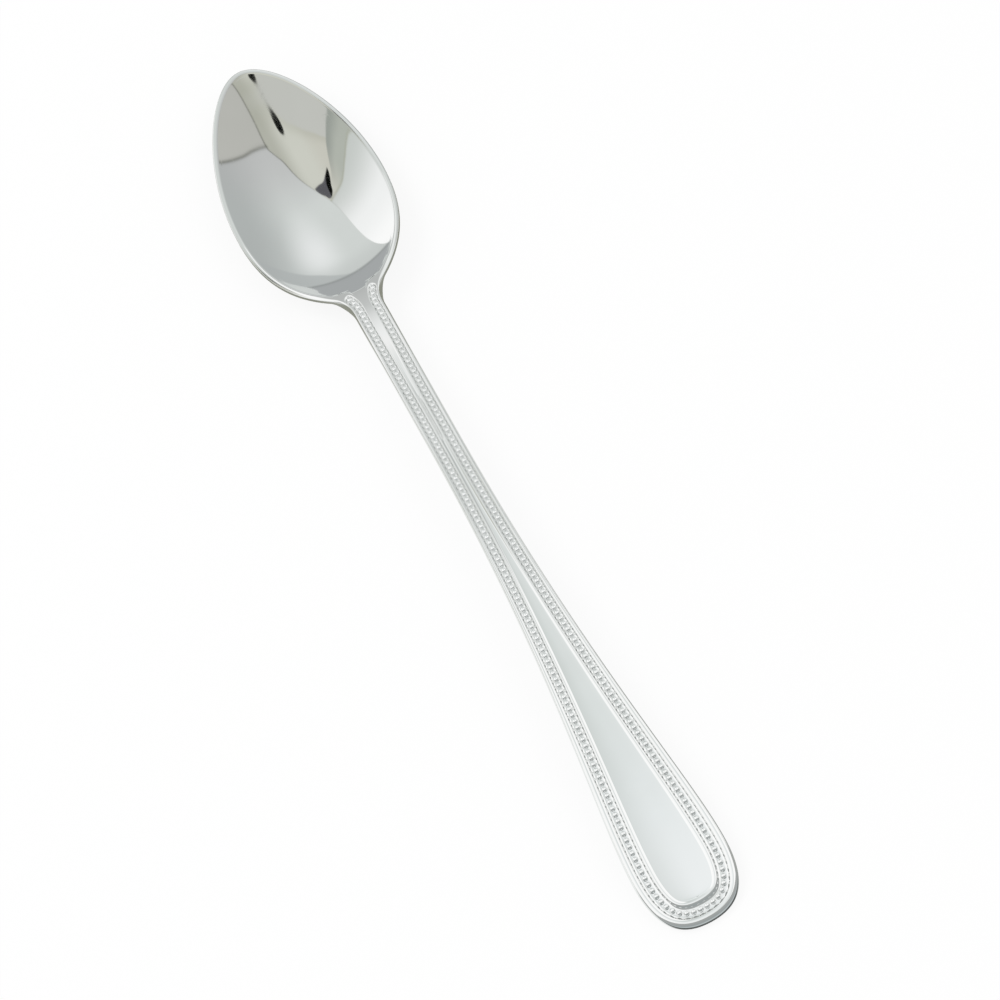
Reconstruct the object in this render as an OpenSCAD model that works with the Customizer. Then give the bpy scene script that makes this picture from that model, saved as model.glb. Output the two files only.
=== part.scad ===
// Iced tea spoon: a long, arched handle with a beaded border and an egg-shaped bowl.
// Millimetres. X runs across the spoon, Y from the handle end to the bowl tip, Z up.
// The spoon lies as on a table, on the underside of its bowl and of its handle end, and
// the origin is on the table under the middle of its length.
// It is one stamped piece of steel. Each node is one zone of that piece, and the zones
// meet face to face along the lines that the stamping shows.

/* [Overall] */
// Length of the spoon, from the handle end to the bowl tip
total_l = 192.6; // [175:0.1:230]

/* [Bowl] */
// Length of the bowl, from its tip to where the neck starts to flare
bowl_l = 57.8; // [50:0.1:68]
// Greatest width of the bowl, over its rim
bowl_w = 29.6; // [24:0.2:34]
// Distance from the bowl tip to the widest place of the bowl
bowl_widest = 32; // [28:0.5:36]
// Depth inside the bowl, below its rim at the widest place
bowl_depth = 5.6; // [4.5:0.1:7]
// Power of the bowl's dish: 2 is a parabola, and more is flatter below and steeper at the rim
bowl_fullness = 2; // [2:0.1:3.5]
// Thickness of the metal under the deepest place
bowl_wall = 1.2; // [0.9:0.1:1.8]
// Thickness of the bowl's rim, seen from the side
lip_t = 1.1; // [0.8:0.1:1.5]
// Width of the rim's flat top
lip_w = 0.8; // [0.6:0.1:1.2]
// Thickness of the wall just inside the rim, measured straight down
rim_wall = 2; // [1.4:0.1:2.6]

/* [Neck] */
// Angle between the shank's edge and the flare, in degrees
flare_angle = 52.5; // [42:0.5:60]
// Reach of the rounded corner between them, along each one
corner_l = 2.7; // [1.5:0.1:4]
// How far the bowl's hollow reaches into the tongue's end
scoop_l = 0.9; // [0.5:0.1:1.5]
// Depth of the hollow at the tongue's end, as a share of the channel's depth
scoop_share = 0.76; // [0:0.02:0.84]

/* [Handle] */
// Greatest width of the handle, near its end
end_w = 17.3; // [14:0.1:20]
// Distance from the handle end to that widest place
end_widest = 11; // [9:0.5:16]
// Width of the straight shank, the narrowest stretch
shank_w = 5.9; // [5.4:0.1:7.5]
// Thickness at the handle end
end_t = 1.6; // [1.5:0.1:2.4]
// Thickness of the shank
shank_t = 2.8; // [2.2:0.1:3.6]
// Thickness of the neck, where the shank joins the bowl
neck_t = 3.2; // [2.6:0.1:4]

/* [Side view] */
// Height of the bowl tip above the rim at the widest place
tip_rise = 1.4; // [0:0.1:3]
// Slope of the rim at the bowl tip, in degrees
tip_slope = 5; // [0:0.5:10]
// Height of the neck above the rim at the widest place
neck_rise = 0.6; // [0:0.1:2]
// Slope of the handle at the neck, falling towards the bowl, in degrees
neck_slope = 3.5; // [1:0.5:6]
// Height of the arch's crest above the rim at the widest place
crest_rise = 3.3; // [1.5:0.1:6]
// Distance from the handle end to the crest
crest_at = 90.5; // [75:0.5:105]
// Slope of the handle at its end, in degrees
end_slope = 15; // [8:0.5:18]

/* [Border] */
// Width of the rounded outer rim at the handle end
end_rim_w = 1.5; // [1:0.05:1.8]
// Width of the rim on the shank
shank_rim_w = 0.95; // [0.7:0.05:1.1]
// Width of the rim at the neck
neck_rim_w = 0.8; // [0.6:0.05:1]
// Width of the beads' channel at the handle end
end_channel_w = 1.75; // [1.3:0.05:2.2]
// Width of the channel on the shank
shank_channel_w = 1.2; // [1.12:0.02:1.3]
// Width of the channel at the neck
neck_channel_w = 1.14; // [1.12:0.02:1.3]
// Width of the inner ridge at the handle end
end_ridge_w = 1.05; // [0.6:0.05:1.4]
// Width of the inner ridge at the neck
neck_ridge_w = 0.5; // [0.3:0.05:0.7]
// Groove between the two inner ridges, where they run side by side on the shank
ridge_gap = 0.2; // [0.1:0.05:0.4]
// Depth of the channel's floor below the top of the rim
channel_depth = 0.45; // [0.3:0.05:0.7]
// Height of the inner ridge above the channel's floor
ridge_h = 0.42; // [0.3:0.02:0.6]
// Height of the smooth panel's edge above the channel's floor
panel_h = 0.24; // [0.15:0.01:0.28]
// Hollow of the panel, below its edge
panel_dish = 0.12; // [0:0.01:0.13]
// Length of the plain tongue that runs from the neck into the shank
tongue_l = 23.5; // [14:0.5:28]
// Length of the shank's plain stretch, where the two ridges run side by side
ridges_l = 9.5; // [5:0.5:20]

/* [Beads] */
// Diameter of a bead
bead_d = 1.08; // [0.8:0.02:1.1]
// Distance from one bead to the next along the border
bead_pitch = 1.214; // [1.12:0.002:1.5]

/* [Hidden] */
$fn = 48;

steel = [0.80, 0.81, 0.81];
bead_steel = [0.88, 0.89, 0.89];

// Where the outline's curves are pulled, as shares of their own stretch
end_tip_share = 0.62;
end_side_share = 0.75;
taper_end_share = 0.14;
taper_shank_share = 0.585;
corner_share = 0.6;
heel_flare_share = 0.285;
heel_bowl_share = 0.56;
bowl_side_share = 0.516;
bowl_tip_share = 0.43;
// Where along the neck's corner the border stops and the bowl starts
border_stop_share = 0.62;
// The bead nearest the handle end's middle stands half a pitch from it
first_bead_share = 0.5;

// Stations along each curve of the outline
end_steps = 14;
taper_steps = 26;
shank_steps = 6;
tongue_steps = 8;
flare_steps = 6;
corner_steps = 5;
heel_steps = 12;
bowl_tip_steps = 16;
// Points across the half of the dish, the back and a panel, and along a quarter of a
// rounded edge
dish_steps = 8;
back_steps = 4;
panel_steps = 3;
round_steps = 3;

// Radius that breaks the bowl rim's edges, and the roll of the handle's edge
lip_round = 0.25;
rim_roll = 0.7;
// The roll takes at most this share of the edge's thickness, above and below
roll_share = 0.45;
// Width in which the flare's edge thins out from the neck's thickness to the bowl rim's
thin_out_w = 1.4;
// Stretch in which the bowl's rim narrows to its own width, past the end of the border
draw_in_l = 2;
// Stretch in which the bowl's dish takes over from the hollow in the tongue's end
break_l = 1.2;
// Half width of the neck's thick middle, as a share of the shank's width
keel_share = 0.65;
// Stretch in which that middle gives way to the wall under the dish
keel_l = 2;
// Power of the hollow's run into the tongue: 1 is a plain slope
scoop_power = 1.5;
// Depth of the small flat that the bowl stands on
rest_flat = 0.1;

// Places along Y, from the handle end. The solids are then moved to the middle.
middle_y = total_l/2;
widest_y = total_l - bowl_widest;
neck_y = total_l - bowl_l;
tongue_y = neck_y - tongue_l;
shank_y = tongue_y - ridges_l;
taper_l = shank_y - end_widest;
rim_h = bowl_depth + bowl_wall - rest_flat;
shank_ridge_w = shank_w/2 - shank_rim_w - shank_channel_w - ridge_gap/2;
scoop_depth = channel_depth*scoop_share;

// The neck's corner, where the shank's edge and the flare would meet, and the flare's start
flare_way = [sin(flare_angle), cos(flare_angle)];
corner = [shank_w/2, neck_y + corner_l];
flare_at = corner + corner_l*flare_way;

// The outline's five curves on the right-hand side, as Bezier control points
end_curve = [[0, 0], [end_w/2*end_tip_share, 0],
             [end_w/2, end_widest*(1 - end_side_share)], [end_w/2, end_widest]];
taper_curve = [[end_w/2, end_widest], [end_w/2, end_widest + taper_l*taper_end_share],
               [shank_w/2, shank_y - taper_l*taper_shank_share], [shank_w/2, shank_y]];
neck_curve = let (from = [shank_w/2, neck_y])
    [from, mix(from, corner, corner_share), mix(flare_at, corner, corner_share), flare_at];
heel_curve = let (l = widest_y - flare_at[1])
    [flare_at, flare_at + l*heel_flare_share*flare_way,
     [bowl_w/2, widest_y - l*heel_bowl_share], [bowl_w/2, widest_y]];
tip_curve = [[bowl_w/2, widest_y], [bowl_w/2, widest_y + bowl_widest*bowl_side_share],
             [bowl_w/2*bowl_tip_share, total_l], [0, total_l]];

// Side view of the top edge: distance from the handle end, height and slope
side_knots = [[0, end_t, tan(end_slope)],
              [crest_at, rim_h + crest_rise, 0],
              [neck_y, rim_h + neck_rise, -tan(neck_slope)],
              [widest_y, rim_h, 0],
              [total_l, rim_h + tip_rise, tan(tip_slope)]];

function mix(a, b, share) = a + (b - a)*share;
function clamp01(v) = min(1, max(0, v));
function ease(v) = let (u = clamp01(v)) u*u*(3 - 2*u);
function reversed(list) = [for (i = [len(list) - 1 : -1 : 0]) list[i]];

// Cubic through two knots with their slopes, for y between them
function hermite(a, b, y) = let (d = b[0] - a[0], u = (y - a[0])/d)
    a[1]*(1 + 2*u)*pow(1 - u, 2) + a[2]*d*u*pow(1 - u, 2)
    + b[1]*u*u*(3 - 2*u) - b[2]*d*u*u*(1 - u);
function span(y, i = 0) =
    i >= len(side_knots) - 2 || y <= side_knots[i + 1][0] ? i : span(y, i + 1);

// Height of the top edge at y, the metal's thickness there, and the slope of both
function edge_z(y) = let (i = span(y)) hermite(side_knots[i], side_knots[i + 1], y);
function thickness(y) = y < shank_y
    ? mix(end_t, shank_t, ease(y/shank_y))
    : mix(shank_t, neck_t, ease((y - shank_y)/(neck_y - shank_y)));
function floor_z(y) = edge_z(y) - channel_depth;
function floor_slope(y) = let (d = bead_d/2)
    atan((floor_z(y + d) - floor_z(y - d))/(2*d));

// A station is a point of the outline and the direction from it into the metal
function bezier(c, u) = pow(1 - u, 3)*c[0] + 3*pow(1 - u, 2)*u*c[1]
    + 3*(1 - u)*u*u*c[2] + pow(u, 3)*c[3];
function heading(c, u) = let (d = pow(1 - u, 2)*(c[1] - c[0])
    + 2*(1 - u)*u*(c[2] - c[1]) + u*u*(c[3] - c[2])) d/norm(d);
function station(c, u) = let (h = heading(c, u)) [bezier(c, u), [-h[1], h[0]]];
function stations(c, from, to, steps) =
    [for (i = [1 : steps]) station(c, mix(from, to, i/steps))];
function straight(from, to, steps) =
    [for (i = [1 : steps]) [[shank_w/2, mix(from, to, i/steps)], [-1, 0]]];
function inset(s, d) = s[0] + d*s[1];

// The handle's stations run from its end to where the border stops, and the bowl's
// from its tip back to the same place
handle_stations = concat([station(end_curve, 0)],
                         stations(end_curve, 0, 1, end_steps),
                         stations(taper_curve, 0, 1, taper_steps),
                         straight(shank_y, tongue_y, shank_steps),
                         straight(tongue_y, neck_y, tongue_steps),
                         stations(neck_curve, 0, border_stop_share, flare_steps));
bowl_stations = concat([station(tip_curve, 1)],
                       stations(tip_curve, 1, 0, bowl_tip_steps),
                       stations(heel_curve, 1, 0, heel_steps),
                       stations(neck_curve, 1, border_stop_share, corner_steps));
stop = handle_stations[len(handle_stations) - 1];

// Border widths at a station: they follow the handle's width to the shank, and then
// draw in from the tongue's start to the neck
function grown(s, at_end, on_shank, at_neck) = let (x = s[0][0], y = s[0][1])
    y <= end_widest ? at_end
    : y <= shank_y ? mix(on_shank, at_end, (x - shank_w/2)/(end_w/2 - shank_w/2))
    : mix(on_shank, at_neck, ease((y - tongue_y)/(stop[0][1] - tongue_y)));
function rim_w(s) = grown(s, end_rim_w, shank_rim_w, neck_rim_w);
function channel_w(s) = grown(s, end_channel_w, shank_channel_w, neck_channel_w);
function ridge_w(s) = grown(s, end_ridge_w, shank_ridge_w, neck_ridge_w);
function border_w(s) = rim_w(s) + channel_w(s) + ridge_w(s);

// Thickness of the spoon's edge at a station. The flare's edge is thin and only the
// middle of the neck keeps its full thickness, as a keel.
function edge_t(s) = let (x = s[0][0], y = s[0][1])
    y >= widest_y ? lip_t
    : y <= neck_y ? thickness(y)
    : mix(neck_t, lip_t, ease((x - shank_w/2)/thin_out_w));
function keel_t(s, x) = let (off = clamp01(abs(x)/(shank_w*keel_share)))
    mix(edge_t(s), thickness(min(s[0][1], neck_y)), pow(1 - off*off, 2));

// Point on the right (side = 1) or left (side = -1), set in by d from a station's
// outline, at height h above the top edge there
function raised(s, side, d, h) = let (p = inset(s, d)) [side*p[0], p[1], edge_z(p[1]) + h];

// Places across a row, as shares of its half width, from the left to the right
function across(steps) = [for (i = [-steps : steps]) i/steps];

// Closed skin over rows of points. Seen along the rows' run, a row holds its upper points
// from left to right and then its lower points back again, so that the two ends close by
// joining them in pairs. A row that comes together in a line or a point closes by itself.
module skin(rows) {
    n = len(rows[0]);
    points = [for (row = rows) each row];
    sides = [for (k = [0 : len(rows) - 2]) for (i = [0 : n - 1])
             let (j = (i + 1) % n, a = k*n + i, b = k*n + j, c = b + n, d = a + n)
             each [[a, c, b], [a, d, c]]];
    ends = [for (k = [0, len(rows) - 1]) if (rows[k][0] != rows[k][n/2 - 1])
            for (i = [0 : n/2 - 2])
            let (a = k*n + i, b = a + 1, d = k*n + n - 1 - i, c = d - 1)
            each k == 0 ? [[a, b, c], [a, c, d]] : [[b, a, d], [b, d, c]]];
    faces = [for (f = concat(sides, ends))
             if (points[f[0]] != points[f[1]] && points[f[1]] != points[f[2]]
                 && points[f[2]] != points[f[0]]) f];
    translate([0, -middle_y, 0]) polyhedron(points, faces);
}

// One profile carried along the whole border: down the left side, round the handle end
// and back up the right. section(s, side) gives a closed row at a station.
function around(section) = concat(
    [for (k = [len(handle_stations) - 1 : -1 : 1]) section(handle_stations[k], -1)],
    [for (s = handle_stations) section(s, 1)]);

// Bowl

inner_half = bowl_w/2 - lip_w;
// Square of how far x lies from the dish's middle, where its half width is w: 1 on the rim
function out2(x, w) = clamp01(1 - (w*w - x*x)/(inner_half*inner_half));
// How far the dish has sunk there: 0 on its rim and 1 at the deepest place
function sunk(x, w) = 1 - pow(out2(x, w), bowl_fullness/2);
function wall(x, w) = mix(bowl_wall, rim_wall, pow(out2(x, w), 2));
// Inner edge of the bowl's rim at a station, and where the hollow starts
function dish_edge(s) = let (share = ease((s[0][1] - stop[0][1])/draw_in_l))
    inset(s, mix(border_w(stop), lip_w, share));
hollow_y = dish_edge(stop)[1];

// Depth to which the tongue's hollow is deeper than the dish at their meeting
scoop_extra = scoop_depth - bowl_depth*sunk(0, dish_edge(stop)[0]);

// The bowl's rows run from the tip, so their left-hand end is at plus X
function bowl_row(s) = let (
        r = dish_edge(s), t = edge_t(s), z = edge_z(r[1]),
        extra = scoop_extra*(1 - ease((r[1] - hollow_y)/break_l)),
        run_out = ease((r[1] - hollow_y)/keel_l),
        top = [for (a = across(dish_steps)) let (x = -a*r[0])
               [x, r[1], z - bowl_depth*sunk(x, r[0]) - extra*(1 - a*a)]],
        under = [for (a = across(dish_steps)) let (x = -a*r[0], keel = keel_t(s, x),
                 dished = bowl_depth*sunk(x, r[0]) + wall(x, r[0]))
                 [x, r[1], max(0, z - keel - run_out*max(0, dished - keel))]])
    concat([raised(s, 1, 0, -lip_round), raised(s, 1, lip_round, 0)], top,
           [raised(s, -1, lip_round, 0), raised(s, -1, 0, -lip_round)],
           [raised(s, -1, 0, lip_round - t), raised(s, -1, lip_round, -t)], reversed(under),
           [raised(s, 1, lip_round, -t), raised(s, 1, 0, lip_round - t)]);

module bowl() {
    color(steel) skin([for (s = bowl_stations) bowl_row(s)]);
}

// Handle back: the plate under the border and the panel, flat across and arched along

function back_row(s, d) = let (p = inset(s, d))
    concat([for (a = across(back_steps)) [a*p[0], p[1], floor_z(p[1])]],
           [for (a = reversed(across(back_steps)))
            [a*p[0], p[1], edge_z(p[1]) - keel_t(s, a*p[0])]]);

module handle_back() {
    rows = [for (s = handle_stations) back_row(s, rim_w(s))];
    color(steel) skin(concat(rows, [back_row(stop, border_w(stop))]));
}

// Edge rim: rounded on top, rolled over at the side and flat below

// Upper and lower halves of its profile, from the plate outwards: inset as a share of the
// rim's width, then height as a share of the crown above the floor or of the roll
crown_shares = [for (i = [0 : round_steps]) let (a = 90*i/round_steps)
                [(1 + cos(a))/2, sin(a)]];
roll_shares = [for (i = [1 : round_steps]) let (a = 90*i/round_steps)
               [(1 - sin(a))/2, 1 - cos(a)]];

function rim_row(s, side) = let (w = rim_w(s), t = edge_t(s), roll = min(rim_roll, t*roll_share))
    concat([for (c = crown_shares) raised(s, side, w*c[0], channel_depth*(c[1] - 1))],
           [for (c = roll_shares) raised(s, side, w*c[0], -roll*c[1])],
           reversed(concat([for (c = crown_shares) raised(s, side, w*c[0], -t)],
                           [for (c = roll_shares) raised(s, side, w*c[0], roll*c[1] - t)])));

module edge_rim() {
    color(steel) skin(around(function (s, side) rim_row(s, side)));
}

// Inner ridge: a thin raised line between the channel and the panel

function ridge_row(s, side) = let (w = ridge_w(s), d = border_w(s) - w, n = 2*round_steps)
    concat([for (i = [0 : n]) let (a = 180*i/n)
            raised(s, side, d + w*(1 + cos(a))/2,
                   mix(i == 0 ? panel_h : 0, ridge_h, sin(a)) - channel_depth)],
           [for (i = [n : -1 : 0]) let (a = 180*i/n)
            raised(s, side, d + w*(1 + cos(a))/2, -channel_depth)]);

module inner_ridge() {
    color(steel) skin(around(function (s, side) ridge_row(s, side)));
}

// Smooth panels inside the ridge. They lie on the back and meet the ridge at their sides.

// A row at a station: flat at height h above the floor, and hollow by dish in the middle
function panel_row(s, h, dish) = let (r = inset(s, border_w(s)), z = floor_z(r[1]))
    concat([for (a = across(panel_steps)) [a*r[0], r[1], z + h - dish*(1 - a*a)]],
           [for (a = reversed(across(panel_steps))) [a*r[0], r[1], z]]);

// The tongue rises from the shank to the bowl's shoulders, and the bowl's hollow starts in
// its end
module neck_tongue() {
    rows = [for (s = handle_stations) if (s[0][1] >= tongue_y)
            let (share = ease((s[0][1] - tongue_y)/(stop[0][1] - tongue_y)),
                 into = clamp01(1 - (hollow_y - inset(s, border_w(s))[1])/scoop_l))
            panel_row(s, mix(panel_h, channel_depth, share), scoop_depth*pow(into, scoop_power))];
    color(steel) skin(rows);
}

// The panel opens from the shank towards the handle end, and its hollow deepens with it
module end_panel() {
    widest = end_w/2 - end_rim_w - end_channel_w - end_ridge_w;
    rows = [for (s = handle_stations) if (s[0][1] <= shank_y)
            panel_row(s, panel_h, panel_dish*inset(s, border_w(s))[0]/widest)];
    color(steel) skin(rows);
}

// Beads: domes at an even pitch along the middle of the channel

lane = [for (s = handle_stations) let (p = inset(s, rim_w(s) + channel_w(s)/2))
        [p[0], p[1], floor_z(p[1])]];
// Distance along the lane to each of its points
reach = [for (i = 0, d = 0; i < len(lane);
              d = d + (i + 1 < len(lane) ? norm(lane[i + 1] - lane[i]) : 0), i = i + 1) d];
function on_lane(d) = [for (axis = [0, 1, 2])
    lookup(d, [for (i = [0 : len(lane) - 1]) [reach[i], lane[i][axis]]])];
last_bead = floor((reach[len(reach) - 1] - bead_d/2)/bead_pitch - first_bead_share);

module bead() {
    rotate_extrude() intersection() {
        circle(d = bead_d);
        square(bead_d);
    }
}

module bead_row() {
    color(bead_steel) for (i = [0 : last_bead]) {
        place = on_lane((i + first_bead_share)*bead_pitch);
        translate(place - [0, middle_y, 0]) rotate([floor_slope(place[1]), 0, 0]) bead();
    }
}

module beads_left() {
    mirror([1, 0, 0]) bead_row();
}

module beads_right() {
    bead_row();
}

bowl();
handle_back();
edge_rim();
inner_ridge();
neck_tongue();
end_panel();
beads_left();
beads_right();
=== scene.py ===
"""Iced tea spoon of polished steel, with a row of small beads round its handle.

The shape follows the same sizes as the solids, in millimetres, and is turned to metres
only when a mesh is made. Y runs from the handle end (0) to the bowl tip, X across, Z up.
"""

import math

import bmesh
import bpy
import numpy as np
from mathutils import Matrix, Vector


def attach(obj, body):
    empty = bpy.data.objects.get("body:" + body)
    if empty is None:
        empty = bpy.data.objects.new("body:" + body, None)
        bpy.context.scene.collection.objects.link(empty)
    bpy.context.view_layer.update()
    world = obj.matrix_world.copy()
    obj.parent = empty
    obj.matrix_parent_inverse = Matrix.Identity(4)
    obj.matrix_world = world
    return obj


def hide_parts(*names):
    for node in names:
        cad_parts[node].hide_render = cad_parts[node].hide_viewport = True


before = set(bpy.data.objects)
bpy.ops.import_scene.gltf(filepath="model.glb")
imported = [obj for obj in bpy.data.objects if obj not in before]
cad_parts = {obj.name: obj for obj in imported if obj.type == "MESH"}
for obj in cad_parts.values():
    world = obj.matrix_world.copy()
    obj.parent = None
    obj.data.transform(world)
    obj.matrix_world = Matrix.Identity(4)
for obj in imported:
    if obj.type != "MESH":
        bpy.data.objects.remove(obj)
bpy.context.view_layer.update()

scene = bpy.context.scene
MM = 0.001

# Sizes of the spoon, the same as the solids have
TOTAL_L = 192.6
BOWL_L, BOWL_W, BOWL_WIDEST, BOWL_DEPTH = 57.8, 29.6, 32.0, 5.6
BOWL_FULLNESS, BOWL_WALL, RIM_WALL = 2.0, 1.2, 2.0
LIP_T, LIP_W = 1.1, 0.8
END_W, END_WIDEST = 17.3, 11.0
SHANK_W, TONGUE_L, RIDGES_L = 5.9, 23.5, 9.5
FLARE_ANGLE, CORNER_L = math.radians(52.5), 2.7
END_T, SHANK_T, NECK_T = 1.6, 2.8, 3.2
TIP_RISE, NECK_RISE, CREST_RISE, CREST_AT = 1.4, 0.6, 3.3, 90.5
TIP_SLOPE, NECK_SLOPE, END_SLOPE = 5.0, 3.5, 15.0
END_RIM_W, SHANK_RIM_W, NECK_RIM_W = 1.5, 0.95, 0.8
END_CHANNEL_W, SHANK_CHANNEL_W, NECK_CHANNEL_W = 1.75, 1.2, 1.14
END_RIDGE_W, NECK_RIDGE_W, RIDGE_GAP = 1.05, 0.5, 0.2
CHANNEL_DEPTH, RIDGE_H, PANEL_H, PANEL_DISH = 0.45, 0.42, 0.24, 0.12
RIM_ROLL, ROLL_SHARE, REST_FLAT = 0.7, 0.45, 0.1
DRAW_IN_L, KEEL_L, KEEL_SHARE = 2.0, 2.0, 0.65
BEAD_D, BEAD_PITCH, FIRST_BEAD = 1.08, 1.214, 0.5

# Sizes that this skin has alone, or has softer than the solids
# The bowl's rim: the width and the height of its rounding
LIP_ROUND_W, LIP_ROUND_H = 0.5, 0.2
# The heel: how far past the neck it leaves the dish's curve, its slope and two roundings
MEET_L, HEEL_FALL, HEEL_ROUND, BEND_BLEND = 7.6, 0.435, 0.05, 0.004
# The flare: the width in which its edge thins, and the length in which the keel fades out
THIN_OUT_W, KEEL_FADE_L = 2.6, 8.0
# How soon the section turns from handle to bowl, and border, panel and panel's steps end
TO_BOWL_L, RELIEF_FADE_L, PANEL_OUT_L, STEP_L = 2.5, 0.35, 1.0, 2
# How flat the hollow stays across, up to its edges, in the tongue and in the dish
TONGUE_FLAT, DISH_FLAT = 12, 40

MIDDLE_Y = TOTAL_L / 2
WIDEST_Y = TOTAL_L - BOWL_WIDEST
NECK_Y = TOTAL_L - BOWL_L
TONGUE_Y = NECK_Y - TONGUE_L
SHANK_Y = TONGUE_Y - RIDGES_L
TAPER_L = SHANK_Y - END_WIDEST
RIM_H = BOWL_DEPTH + BOWL_WALL - REST_FLAT
SHANK_RIDGE_W = SHANK_W / 2 - SHANK_RIM_W - SHANK_CHANNEL_W - RIDGE_GAP / 2

# Softening of the stamped shapes, which the solids leave sharp
OUTLINE_SOFT, SIDE_SOFT, CREASE_SOFT, DISH_SOFT = 0.8, 3.0, 0.11, 0.2
UNDER_SOFT, REST_SOFT = 0.3, 0.03
FINE_STEP, STATION_STEP = 0.1, 0.5
# The outline's curves: how far their handles reach, as shares of each curve
END_PULL, CORNER_PULL, TAPER_PULL, SHANK_PULL, NECK_PULL = 0.62, 0.75, 0.14, 0.585, 0.6
HEEL_PULL, BELLY_PULL, SIDE_PULL, TIP_PULL = 0.285, 0.56, 0.516, 0.43
CURVE_POINTS, BORDER_STOP = 900, 0.62


def mix(a, b, share):
    return a + (b - a) * share


def ease(v):
    u = np.clip(v, 0.0, 1.0)
    return u * u * (3 - 2 * u)


def lifted(v, soft):
    """The larger of v and nothing, rounded where the two meet."""
    return 0.5 * (v + np.sqrt(v * v + soft**2))


def softened(values, sigma, step):
    """A row of values after a Gaussian blur that keeps its curves from shrinking."""
    reach = int(4 * sigma / step) + 1
    bell = np.exp(-0.5 * (np.arange(-reach, reach + 1) * step / sigma) ** 2)
    bell /= bell.sum()

    def blur(v):
        return np.convolve(v, bell, "same")

    return 2 * blur(values) - blur(blur(values))


# ---- the spoon's outline and its side view


def bezier(points, count):
    p = np.array(points, float)
    u = np.linspace(0, 1, count)[:, None]
    left = 1 - u
    return left**3 * p[0] + 3 * left**2 * u * p[1] + 3 * left * u * u * p[2] + u**3 * p[3]


def right_outline():
    """The right-hand edge from handle end to bowl tip, and where the border stops on it."""
    half_end, half_shank, half_bowl = END_W / 2, SHANK_W / 2, BOWL_W / 2
    neck = np.array([half_shank, NECK_Y])
    corner = neck + [0, CORNER_L]
    way = np.array([math.sin(FLARE_ANGLE), math.cos(FLARE_ANGLE)])
    flare = corner + CORNER_L * way
    heel = WIDEST_Y - flare[1]
    curves = [
        [(0, 0), (half_end * END_PULL, 0),
         (half_end, END_WIDEST * (1 - CORNER_PULL)), (half_end, END_WIDEST)],
        [(half_end, END_WIDEST), (half_end, END_WIDEST + TAPER_L * TAPER_PULL),
         (half_shank, SHANK_Y - TAPER_L * SHANK_PULL), (half_shank, SHANK_Y)],
        [(half_shank, SHANK_Y), (half_shank, mix(SHANK_Y, NECK_Y, 1 / 3)),
         (half_shank, mix(SHANK_Y, NECK_Y, 2 / 3)), (half_shank, NECK_Y)],
        [neck, mix(neck, corner, NECK_PULL), mix(flare, corner, NECK_PULL), flare],
        [flare, flare + heel * HEEL_PULL * way,
         (half_bowl, WIDEST_Y - heel * BELLY_PULL), (half_bowl, WIDEST_Y)],
        [(half_bowl, WIDEST_Y), (half_bowl, WIDEST_Y + BOWL_WIDEST * SIDE_PULL),
         (half_bowl * TIP_PULL, TOTAL_L), (0, TOTAL_L)],
    ]
    pieces = [bezier(c, CURVE_POINTS) for c in curves]
    points = np.vstack([pieces[0]] + [p[1:] for p in pieces[1:]])
    stop = pieces[3][int(BORDER_STOP * (CURVE_POINTS - 1))]
    return points, stop


def resampled(points, step):
    """Points at even steps along a line, and their step."""
    run = np.concatenate([[0], np.cumsum(np.hypot(*np.diff(points, axis=0).T))])
    count = int(round(run[-1] / step)) + 1
    at = np.linspace(0, run[-1], count)
    return np.stack([np.interp(at, run, points[:, k]) for k in (0, 1)], 1), at[1]


def soft_outline():
    """Stations along the right-hand edge with the direction from each into the metal."""
    raw, stop = right_outline()
    fine, step = resampled(raw, FINE_STEP)
    n, lap = len(fine), 400
    # a closed loop of both edges that laps over its own start, so that the blur has no end
    loop = np.vstack([fine, (fine * [-1, 1])[-2:0:-1]])
    tiled = np.vstack([loop[-lap:], loop, loop[:lap]])
    soft = np.stack([softened(tiled[:, k], OUTLINE_SOFT, step) for k in (0, 1)], 1)[lap:lap + n]
    soft[0, 0] = soft[-1, 0] = 0
    soft[:, 1] = (soft[:, 1] - soft[0, 1]) * TOTAL_L / (soft[-1, 1] - soft[0, 1])
    soft[:, 0] = np.clip(soft[:, 0], 0, BOWL_W / 2)
    run = np.concatenate([[0], np.cumsum(np.hypot(*np.diff(soft, axis=0).T))])
    heading = np.gradient(soft, run, axis=0)
    heading[0], heading[-1] = (1, 0), (-1, 0)
    heading /= np.linalg.norm(heading, axis=1, keepdims=True)
    # closer stations round the two ends and where the neck flares: place, reach, how much
    y = soft[:, 1]
    crowded = [(0, 5, 1.6), (TOTAL_L, 5, 2.2), (stop[1], 6, 0.8), (stop[1], 1.5, 2.5)]
    pace = 1 + sum(more * np.exp(-((y - at) / reach) ** 2) for at, reach, more in crowded)
    clock = np.concatenate([[0], np.cumsum((pace[1:] + pace[:-1]) / 2 * np.diff(run))])
    count = int(clock[-1] / STATION_STEP) + 1
    at = np.interp(np.linspace(0, clock[-1], count), clock, run)
    pick = [np.interp(at, run, a) for a in (soft[:, 0], soft[:, 1], heading[:, 0], heading[:, 1])]
    h = np.stack(pick[2:], 1)
    h /= np.linalg.norm(h, axis=1, keepdims=True)
    return np.stack(pick[:2], 1), np.stack([-h[:, 1], h[:, 0]], 1), at, stop


SIDE_KNOTS = [
    (0, END_T, math.tan(math.radians(END_SLOPE))),
    (CREST_AT, RIM_H + CREST_RISE, 0.0),
    (NECK_Y, RIM_H + NECK_RISE, -math.tan(math.radians(NECK_SLOPE))),
    (WIDEST_Y, RIM_H, 0.0),
    (TOTAL_L, RIM_H + TIP_RISE, math.tan(math.radians(TIP_SLOPE))),
]


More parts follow.
